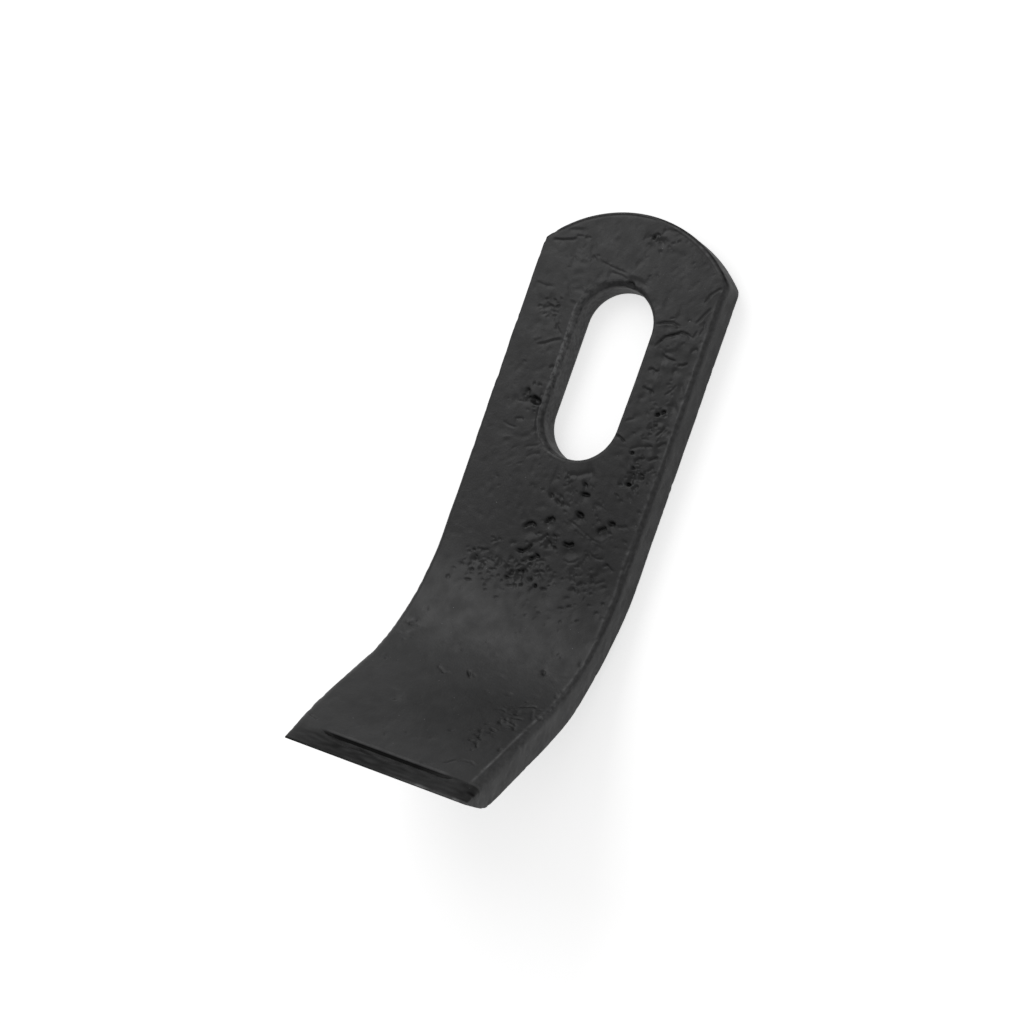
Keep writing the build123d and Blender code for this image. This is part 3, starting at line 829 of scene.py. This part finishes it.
# %% Rough fields: x, y, half length, half width, turn in degrees, how rough
fields = [
    (0.0, 0.0, 27.0, 45.0, 0, 0.6), (-1.0, -51.0, 9.0, 6.0, 10, 1.6),
    (-12.5, -52.0, 5.0, 5.0, 0, 0.8), (15.0, -47.0, 6.0, 6.0, 30, 0.9),
    (3.0, -42.0, 5.0, 3.0, -30, 0.8), (19.0, -22.0, 4.0, 5.0, 0, 1.3),
    (18.5, -8.0, 5.0, 7.0, 0, 0.8), (17.0, 10.0, 6.0, 9.0, 0, 0.5),
    (-17.0, 11.5, 3.5, 3.0, -20, 1.0), (-13.0, 26.5, 4.5, 3.0, 30, 0.6),
    (4.0, 33.0, 6.0, 4.0, 10, 0.6), (-14.5, -10.0, 3.0, 2.5, 0, 0.8),
    (14.0, 33.0, 9.0, 3.0, -20, 0.7), (3.0, -30.0, 6.0, 5.0, 0, 0.7),
    (17.5, -89.0, 4.5, 6.0, 0, 1.0), (15.5, -99.5, 3.0, 4.0, 0, 0.8),
    (-19.5, -71.0, 2.5, 6.0, 0, 0.7), (17.5, -71.0, 3.0, 4.0, 0, 0.8),
    (24.0, -60.0, 1.3, 60.0, 0, 0.8),
]
quiet = 0.22                # how rough the skin is away from them
field_edge = 1.2            # how fast a field's roughness dies away


def roughness_at(x, y):
    """How rough the skin is at a place of the flat front."""
    rough = np.full(len(x), quiet)
    for field_x, field_y, half_length, half_width, turn, amount in fields:
        u, v = seen_from_oval(x - field_x, y - field_y, half_length, half_width, turn)
        rough += amount * np.exp(-(u * u + v * v) * field_edge)
    return rough


print("rough fields:", len(fields))

# %% Skin
wave_size = 8.0             # mm across the waves of forging, and then the smaller noises
small_size = 2.1
grain_size = 0.95
pock_size = 0.7
pocks_from = 1.0            # how rough a place has to be for sharp little pocks
grain_depth = 0.026         # mm, and then of the small noise
small_depth = 0.035


def skin_height(places, rough):
    """Noise in four sizes: waves of forging, small dents, grain and, where rough, pocks."""
    height = np.empty(len(places))
    for i, place in enumerate(places):
        p = Vector(place)
        waves = noise.noise(p / wave_size) * min(0.04 + 0.07 * rough[i], 0.12)
        small = noise.noise(p / small_size + Vector((7, 0, 0)))
        dips = -max(0.0, abs(small) - 0.28) * 0.5       # only where it is highest and lowest
        grain = noise.noise(p / grain_size + Vector((0, 11, 0))) * grain_depth
        if rough[i] > pocks_from:
            pocks = max(0.0, noise.noise(p / pock_size + Vector((5, 0, 9))) - 0.12) * 0.16
            grain -= pocks * (rough[i] - pocks_from)
        height[i] = waves + (small * small_depth + dips + grain) * rough[i]
    return height


print("skin below the slot, in mm:", skin_height([(0.0, -30.0, thickness)], [1.0]))

# %% [markdown]
# The even net is half a millimetre wide, too coarse for the creases. Where the marks would
# bend an edge of the net, its faces are cut in four. That spends the faces on the marks.

# %% Cut the net finer where the marks are
def coordinates(mesh):
    """Places of all points of a mesh, as one array."""
    return np.array([v.co[:] for v in mesh.verts])


def put(mesh, places):
    """Move all points of a mesh."""
    for vertex, place in zip(mesh.verts, places):
        vertex.co = place


worth_cutting = 0.02        # mm by which the marks bend an edge away from straight
ridge_from = 22.3           # x from which the right edge's raised line is always cut finer
rough_from = 1.25           # and so are the roughest fields
front_from = thickness - 0.9        # z above which a point belongs to the front

knife_mesh.verts.index_update()
places = coordinates(knife_mesh)
front_edges = [e for e in knife_mesh.edges if all(v.co.z > front_from for v in e.verts)]
ends = np.array([[v.index for v in e.verts] for e in front_edges])
middle = (places[ends[:, 0]] + places[ends[:, 1]]) / 2
at_points = marks_height(places[:, 0], places[:, 1])
straight = (at_points[ends[:, 0]] + at_points[ends[:, 1]]) / 2
bent = np.abs(marks_height(middle[:, 0], middle[:, 1]) - straight)
always = (middle[:, 0] > ridge_from) | (roughness_at(middle[:, 0], middle[:, 1]) > rough_from)
wanted = zip(front_edges, (bent > worth_cutting) | always)
busy = {f for e, cut in wanted if cut for f in e.link_faces}
busy = {f for f in busy if all(v.co.z > front_from for v in f.verts)}
busy_edges = [e for e in knife_mesh.edges if any(f in busy for f in e.link_faces)]
bmesh.ops.subdivide_edges(knife_mesh, edges=busy_edges, cuts=1, use_grid_fill=True)
print("faces cut finer:", len(busy), "faces now:", len(knife_mesh.faces))

# %% [markdown]
# The bar was pulled out with the rounding it has at the foot of the head. Farther down it
# reads its size from the same tables, and the points near each long edge are moved to suit.

# %% Give the bar its changing edges
roll_fade = 5.0             # inset at which the move has died away


def resize_roll(flat, side, table):
    """Give the front edge on one side (1 right, -1 left) its own rounding below the foot."""
    radius = look_up(flat[:, 1], table)
    built = float(look_up(foot, table))
    inset = width / 2 - flat[:, 0] * side
    depth = thickness - flat[:, 2]
    chosen = (inset < roll_fade) & (depth < roll_fade) & (flat[:, 1] < foot)

    def moved(value):
        inner = value * radius / built
        outer = radius + (value - built) * (roll_fade - radius) / (roll_fade - built)
        return np.where(value < built, inner, outer)

    flat[:, 0] = np.where(chosen, side * (width / 2 - moved(inset)), flat[:, 0])
    flat[:, 2] = np.where(chosen, thickness - moved(depth), flat[:, 2])


knife_mesh.normal_update()
facing = np.array([v.normal[:] for v in knife_mesh.verts])
flat = coordinates(knife_mesh)
before = flat.copy()        # places on the even bar, by which marks, wear, painted light and painted shade are laid
resize_roll(flat, 1, right_roll)
resize_roll(flat, -1, left_roll)
print("largest move of an edge:", round(float(np.abs(flat - before).max()), 2), "mm")

# %% [markdown]
# Now the skin. Each point is moved along its own normal: by the marks where it faces the
# front, and by the noise everywhere. The slot's wall and the back stay calmer than the
# front, as the bolt and the seat need them.

# %% Press the marks and the skin into the steel
marked_depth = 2.8          # how far below the front the marks still reach
side_from = 20.0            # x beyond which an upright face is the bar's side
back_rough = 0.5            # how rough the back and the sides are
side_rough = 0.6
wall_skin = 0.3             # and how much of the skin the slot's wall gets


def smooth(low, high, value):
    """Soft change from 0 at low to 1 at high. Low may be the larger number."""
    t = np.clip((value - low) / (high - low), 0.0, 1.0)
    return t * t * (3.0 - 2.0 * t)


x, y = flat[:, 0], flat[:, 1]
on_front = smooth(0.25, 0.8, facing[:, 2]) * (before[:, 2] > thickness - marked_depth)
on_back = smooth(0.5, 0.9, -facing[:, 2])
on_side = smooth(0.5, 0.9, np.hypot(facing[:, 0], facing[:, 1])) * (np.abs(x) > side_from)
marks = marks_height(x, y) * on_front
rough = roughness_at(x, y) * on_front + back_rough * on_back + side_rough * on_side
skin = skin_height(flat, rough)
skin *= np.where(on_front + on_back + on_side > 0.3, 1.0, wall_skin)
flat += facing * (marks + skin)[:, None]
print("marks from", round(float(marks.min()), 2), "to", round(float(marks.max()), 2), "mm")

# %% [markdown]
# On the front a low step runs beside the cutting edge; on the back the metal is ground
# away in a slope. Both are a depth below the flat front, and every point between is moved
# in proportion, so the rows stay in order. Wear has narrowed the left side at the edge, and
# bending has drawn the right side in a little where the back was stretched.

# %% Shape of the blade's end
edge_drop = 0.6             # how far the front has fallen at the cutting edge
strip_top_y = -117.2
strip_drop = 0.2            # and where the strip beside it begins
lean = 1.3                  # run over which the front rounds down to the wall
wall_top_depth = 0.3
wall_foot_depth = 1.6
wall_left = (-17.5, -14.5)  # x from where the wall begins to where it is whole
wall_right = (15.0, 18.5)   # and from where it fails to where it ends
groove_length = 0.4         # over which the ground rises again after the wall's foot
land = 0.3
heel_at = 27.0              # from the end of the bend
heel_blend = 3.0
wear_width = 1.7
wear_length = 20.0
drawn_in = 0.35             # how far bending has drawn the right side in


def front_depth(y, x):
    """Depth of the front below the flat of the bar. The wall dies out at both ends."""
    strip = np.interp(y, [end, strip_top_y, wall_top_y + lean], [edge_drop, strip_drop, 0.0])
    above_wall = wall_top_depth * smooth(wall_top_y + lean, wall_top_y, y) ** 2
    groove = np.exp(-np.maximum(wall_foot_y - y, 0) / groove_length)
    below_wall = np.maximum(strip, strip_drop) + (wall_foot_depth - strip_drop) * groove
    walled = np.where(y > (wall_top_y + wall_foot_y) / 2, above_wall, below_wall)
    along_wall = smooth(*wall_left, x) * (1 - smooth(*wall_right, x))
    return strip + (walled - strip) * along_wall


def back_depth(along):
    """Depth of the back below the front: the full bar, then the ground slope."""
    def slope_run(run):
        return 0.5 * (run + np.sqrt(run ** 2 + (heel_blend / 2) ** 2))

    share = slope_run(along - heel_at) / slope_run(blade_length - heel_at)
    return thickness - (thickness - edge_drop - land) * share


along = head_top - flat[:, 1] - bend_end
depth = thickness - flat[:, 2]
in_bend = smooth(-48.0, -60.0, flat[:, 1]) * (1 - smooth(-66.0, -80.0, flat[:, 1]))
flat[:, 0] -= drawn_in * in_bend * smooth(2.0, 8.0, depth) * smooth(15.0, 25.0, flat[:, 0])
front = front_depth(before[:, 1], flat[:, 0])
squeezed = front + depth / thickness * (back_depth(along) - front)
flat[:, 2] = thickness - squeezed
narrowing = wear_width * np.clip((along - blade_length + wear_length) / wear_length, 0, 1) ** 2
flat[:, 0] += narrowing * np.clip(-flat[:, 0] / (width / 2), 0, 1) ** 2
print("back at the cutting edge:", round(float(back_depth(blade_length)), 2), "mm below the front")

# %% [markdown]
# Bending comes last. A Simple Deform modifier bends about one centre, but a real bar keeps
# its straight ends, so each point is carried along the line of the front: straight, then
# round the former, then straight again at the new angle.

# %% Bend
mm = 0.001


def bend(flat):
    """Carry flat places onto the bent bar."""
    reach = head_top - flat[:, 1]
    turn = np.clip((reach - straight_length) / bend_radius, 0.0, bend_angle)
    straight = np.minimum(reach, straight_length)
    beyond = np.maximum(reach - bend_end, 0.0)
    radius = bend_radius + (thickness - flat[:, 2])
    y = head_top - straight - radius * np.sin(turn) - beyond * np.cos(turn)
    z = thickness + bend_radius - radius * np.cos(turn) + beyond * np.sin(turn)
    return np.stack([flat[:, 0], y, z], axis=1)


put(knife_mesh, bend(flat) * mm)
bmesh.ops.recalc_face_normals(knife_mesh, faces=knife_mesh.faces)
print("height of the cutting edge:", round(max(v.co.z for v in knife_mesh.verts) / mm, 1), "mm")

# %% [markdown]
# The paint is paler in places. Wear shows where something rubs: on the chipped lip of the
# slot's flare, on the raised lines and at a few places of the cutting edge. Light is painted
# there too: painted light on the slot's flare and wall, a painted highlight along the raised
# lines and the right edge, and painted glints on the cutting edge. A few patches are paler as
# well. A picture of this would need the surface laid out flat. Here it is a number on each
# vertex, from 0 to 1, worked out from its place on the flat bar. The paint reads it, and it
# moves with the mesh.

# %% Places that are worn, and places of painted light
flare_wear_and_light = [            # degrees round the slot's centre, and how pale the flare is: worn lip and painted light
    (-180, 1.0), (-150, 0.8), (-125, 0.4), (-100, 0.05), (0, 0.0), (95, 0.05), (115, 0.4),
    (140, 0.9), (180, 1.0),
]
wall_painted_light = [(80, 0.15), (110, 0.35)]     # the same for its wall, degrees to either side: painted light
edge_wear_and_glints = [             # x along the cutting edge, and how pale it is: wear and painted glints
    (-25, 0.0), (0, 0.1), (10, 0.3), (11.5, 0.9), (13.5, 0.9), (15, 0.4), (21, 0.4),
    (22.5, 1.0), (24, 0.4),
]
flare_reach = 1.5           # mm from the slot's edge that still belong to its flare
wall_reach = 0.3            # and to its wall
close = 0.01                # mm
right_edge_highlight = 0.13         # painted highlight along the rounded right edge
raised_wear_and_highlight = 3.0         # wear and painted highlight, for each mm that a raised line stands up
# paler places: x, y, half length, half width, turn in degrees, how pale
pale_patches = [
    (-4, 26, 26, 14, 0, 0.035), (13.5, 28.5, 3.5, 3, 0, 0.12), (-8, 30.5, 2.5, 1.8, 0, 0.1),
    (-14.5, 25, 4, 3, 30, 0.1), (-18, 11, 2.5, 2.5, 0, 0.12), (-19, 5, 2, 2.5, 0, 0.1),
    (-7.5, -28.5, 3, 3, 0, 0.06), (17, -67.5, 1.5, 2, 0, 0.1), (-21.5, -71.5, 1, 1.2, 0, 0.3),
    (-20, -75, 1.2, 0.8, 30, 0.25), (-6.5, -75, 1.5, 1.5, 0, 0.12), (18, -93.5, 1.5, 2, 0, 0.12),
    (-11.5, -94, 2, 1, 0, 0.12), (-8.5, -96.5, 1.5, 2.5, 20, 0.15), (-2.5, -101, 7, 5, 0, 0.05),
]

x, y = before[:, 0], before[:, 1]
from_slot = np.hypot(x, np.maximum(np.abs(y) - slot_half_straight, 0)) - slot_half_width
direction = np.degrees(np.arctan2(y, x))
on_flare = (from_slot < flare_reach) & (before[:, 2] > thickness - flare_depth - close)
on_wall = (from_slot < wall_reach) & ~on_flare
flare_share = from_slot / look_up(direction, flare_by_direction)
on_lip = 0.6 + 0.4 * smooth(0.5, 0.8, flare_share)
on_lip *= 1 - smooth(1.15, 1.4, flare_share)
# painted highlight along the rounded right edge
on_right = smooth(23.3, 24.2, x) * (facing[:, 2] > 0.2) * (y > wall_foot_y)
# wear and painted glints on the cutting edge
at_edge = smooth(end + 1.0, end + 0.2, y) * look_up(x, edge_wear_and_glints)
print("vertices on the slot's flare:", int(on_flare.sum()), "and wall:", int(on_wall.sum()))


# %% Write the wear and the painted light on the vertices
def write_on_vertices(name, amounts):
    """Keep a number from 0 to 1 on each vertex, where a material can read it by its name."""
    layer = knife_mesh.verts.layers.float.new(name)
    for vertex, amount in zip(knife_mesh.verts, np.clip(amounts, 0, 1)):
        vertex[layer] = amount
    print(name, "on", round(float((amounts > 0.3).mean()), 3), "of the vertices")


wear_and_painted_light_now = np.maximum.reduce([
    raised_wear_and_highlight * raised_lines(x, y, welts) * on_front,
    on_flare * on_lip * look_up(direction, flare_wear_and_light),
    on_wall * look_up(np.abs(direction), wall_painted_light),
    at_edge,
    right_edge_highlight * on_right,
])
# the paler patches
wear_and_painted_light_now -= bowls(x, y, pale_patches, soft_walls) * on_front
write_on_vertices("wear_and_painted_light", wear_and_painted_light_now)

# %% [markdown]
# Shade is painted on the groove beside the cutting edge, in a thin line along the left part
# of the cutting edge, on the line round the head and down the dome's right side, and in the
# dents, most of all on the walls nearest the head, where the height rises along the bar. The
# strip beside the cutting edge and a few soft patches are darker too. There the colour is
# darker and the paint reflects less. Like the wear, it is a number on each vertex, which the
# paint reads.

# %% Places with painted shade, and darker places
# each pair is x across the knife, and how dark it is there
strip_darkening = [(-25, 0.2), (-20, 0.45), (-12, 0.7), (5, 0.62), (15, 0.45), (21, 0.5), (24, 0.7)]
# painted shade in a thin line along the cutting edge
edge_line_shade = [(-25, 0.8), (7, 0.8), (10, 0.0)]
# painted shade in the groove beside the cutting edge
groove_shade = [(-18.5, 0.0), (-14.0, 1.0), (8.0, 1.0), (15.0, 0.8), (20.0, 0.45), (24.0, 0.1)]
# painted shade on the line round the head
rim_shade = [(-25, 0.9), (5, 0.8), (12, 0.9), (23, 1.0), (24.5, 0.8), (25, 0.3)]
strip_gap = [(-25, 3.0), (-17, 1.2), (-13, 0.2)]    # x, and from the wall's foot to the strip
# darker patches: x, y, half length, half width, turn in degrees, how dark
dark_patches = [
    (15, -36, 30, 17, 90, 0.24), (-6, -37, 16, 12, 90, 0.14), (21, -57, 14, 9, 90, 0.2),
    (3, -98, 24, 14, 0, 0.3), (-15, -107, 10, 9, 0, 0.12), (3, -61, 11, 8, 0, 0.12),
    (0, -52, 14, 9, 0, 0.12), (16, -87, 8, 5, 0, 0.12),
]
slope_reach = 0.15          # mm to either side of a point, over which its slope is measured
dent_wall_shade = 0.65            # painted shade on the walls of dents that rise towards the head
dent_shade = 0.25            # painted shade anywhere in a dent
cloud_across = 0.3          # noise cells in each mm across the bar, and along it
cloud_along = 1.2

upward = smooth(0.2, 0.8, facing[:, 2])
near_front = smooth(thickness - 4.5, thickness - 2.5, before[:, 2])
rise = (marks_height(x, y + slope_reach) - marks_height(x, y - slope_reach)) / (2 * slope_reach)
cloud_places = [Vector((cloud_across * u, cloud_along * v, 0.0)) for u, v in zip(x, y)]
clouds = np.array([noise.noise(place) for place in cloud_places])
strip_start = wall_foot_y - look_up(x, strip_gap)
on_strip = smooth(wall_top_y + 0.2, strip_start, y) * near_front * smooth(-0.3, 0.5, facing[:, 2])
# where shade is painted in the groove beside the cutting edge
in_groove = smooth(wall_top_y + 0.4, wall_top_y, y)
in_groove *= 1 - smooth(wall_foot_y - 0.3, wall_foot_y - 0.8, y)
# where shade is painted on the line round the head and the dome's side
on_rim = smooth(head_radius - 0.6, head_radius - 0.3, np.hypot(x, y - dome.y))
on_rim *= smooth(27.5, 29.0, y) * (1 + 0.5 * clouds)
at_rim_top = smooth(thickness - 1.6, thickness - 0.2, before[:, 2])
on_rim *= np.maximum(at_rim_top, 0.5 * smooth(2.0, 18.0, x))      # painted shade down the side on the right
print("steepest wall:", round(float(rise.max()), 1), "mm of height for each mm along")

# %% Write the painted shade and the darker places on the vertices
# painted shade in the dents, most on the walls that rise towards the head
in_dents = dent_wall_shade * smooth(0.4, 1.4, rise) + dent_shade * smooth(0.1, 0.5, -marks)
painted_shade_and_dark_now = np.maximum.reduce([
    upward * (in_dents - bowls(x, y, dark_patches, soft_walls)),
    on_strip * look_up(x, strip_darkening) * (1 + 0.6 * clouds),
    in_groove * upward * look_up(x, groove_shade),
    on_rim * look_up(x, rim_shade),
    smooth(end + 0.5, end + 0.2, y) * look_up(x, edge_line_shade),
])
painted_shade_and_dark_now *= 1 - np.clip(1.2 * at_edge, 0, 1)        # no painted shade on the rubbed places of the edge
write_on_vertices("painted_shade_and_dark", painted_shade_and_dark_now)

# %% [markdown]
# A bmesh is a workbench: what Blender shows is a mesh that belongs to an object. The plain
# solid stays for its weight and its contacts, and the finished knife is shown in its place.

# %% The finished knife takes the place of the plain solid
knife_data = bpy.data.meshes.new("knife")
knife_mesh.to_mesh(knife_data)
knife_mesh.free()
knife_data.shade_smooth()
knife = bpy.data.objects.new("knife", knife_data)
bpy.context.scene.collection.objects.link(knife)
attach(knife, "root")
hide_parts("chopper_knife")
print("faces as triangles:", sum(len(p.vertices) - 2 for p in knife_data.polygons))

# %% [markdown]
# The paint is dark and satin. Flat colour would look like plastic, so four things change
# over it: its roughness, in wide soft patches; a fine grain, which only bends the light;
# a paler grey in broken spots, which is wear and painted light and highlights, with a few
# pale specks all over; and painted shade and darker patches, where the colour gets darker
# and the paint reflects less.

# %% Nodes for the paint
paint, nodes, links = make_material("dark_paint")
shader = nodes["Principled BSDF"].inputs
where = nodes.new("ShaderNodeTexCoord")


def add_noise(scale, detail):
    """Noise over the object's own coordinates, in cells of one metre over the scale."""
    texture = nodes.new("ShaderNodeTexNoise")
    feed(texture.inputs["Scale"], scale)
    feed(texture.inputs["Detail"], detail)
    feed(texture.inputs["Vector"], where.outputs["Object"])
    return texture.outputs["Fac"]


def map_range(value, low, high, new_low, new_high):
    """Carry a value from one range to another."""
    node = nodes.new("ShaderNodeMapRange")
    feed(node.inputs["Value"], value)
    feed(node.inputs["From Min"], low)
    feed(node.inputs["From Max"], high)
    feed(node.inputs["To Min"], new_low)
    feed(node.inputs["To Max"], new_high)
    return node.outputs["Result"]


def from_vertices(name):
    """Number that was written on the vertices."""
    node = nodes.new("ShaderNodeAttribute")
    node.attribute_name = name
    return node.outputs["Fac"]


def mix_colours(first, second, share):
    """Colour between two colours."""
    node = nodes.new("ShaderNodeMix")
    node.data_type = "RGBA"
    feed(node.inputs["A"], first)
    feed(node.inputs["B"], second)
    feed(node.inputs["Factor"], share)
    return node.outputs["Result"]


print("material:", paint.name)

# %% Paint
paint_grey = (0.011, 0.011, 0.0115, 1.0)
# paler grey of the wear, and of the painted light and highlights
worn_and_lit_grey = (0.17, 0.17, 0.172, 1.0)
# colour of the painted shade and of the darker patches
painted_shade_grey = (0.003, 0.003, 0.003, 1.0)
paint_gloss = 0.5           # how much the paint reflects, and how much where shade is painted
painted_shade_gloss = 0.06
grain_strength = 0.35
grain_height = 0.0001       # m

spots = map_range(add_noise(900.0, 3.0), 0.35, 0.6, 0.2, 1.0)
specks = map_range(add_noise(1500.0, 1.0), 0.79, 0.83, 0.0, 1.0)
# wear, painted light and painted highlights in broken spots, and pale specks
worn_and_lit = add_math("MAXIMUM", add_math("MULTIPLY", from_vertices("wear_and_painted_light"), spots), specks)
# painted shade and darker patches, read from the vertices
painted_shade_and_dark = from_vertices("painted_shade_and_dark")
painted = mix_colours(paint_grey, worn_and_lit_grey, worn_and_lit)
feed(shader["Base Color"], mix_colours(painted, painted_shade_grey, painted_shade_and_dark))
feed(shader["Specular IOR Level"], map_range(painted_shade_and_dark, 0.0, 1.0, paint_gloss, painted_shade_gloss))
feed(shader["Roughness"], map_range(add_noise(260.0, 4.0), 0.3, 0.7, 0.38, 0.52))

grain = nodes.new("ShaderNodeBump")
feed(grain.inputs["Strength"], grain_strength)
feed(grain.inputs["Distance"], grain_height)
feed(grain.inputs["Height"], add_noise(1600.0, 3.0))
feed(shader["Normal"], grain.outputs["Normal"])
knife_data.materials.append(paint)
print("nodes in the paint:", len(nodes))
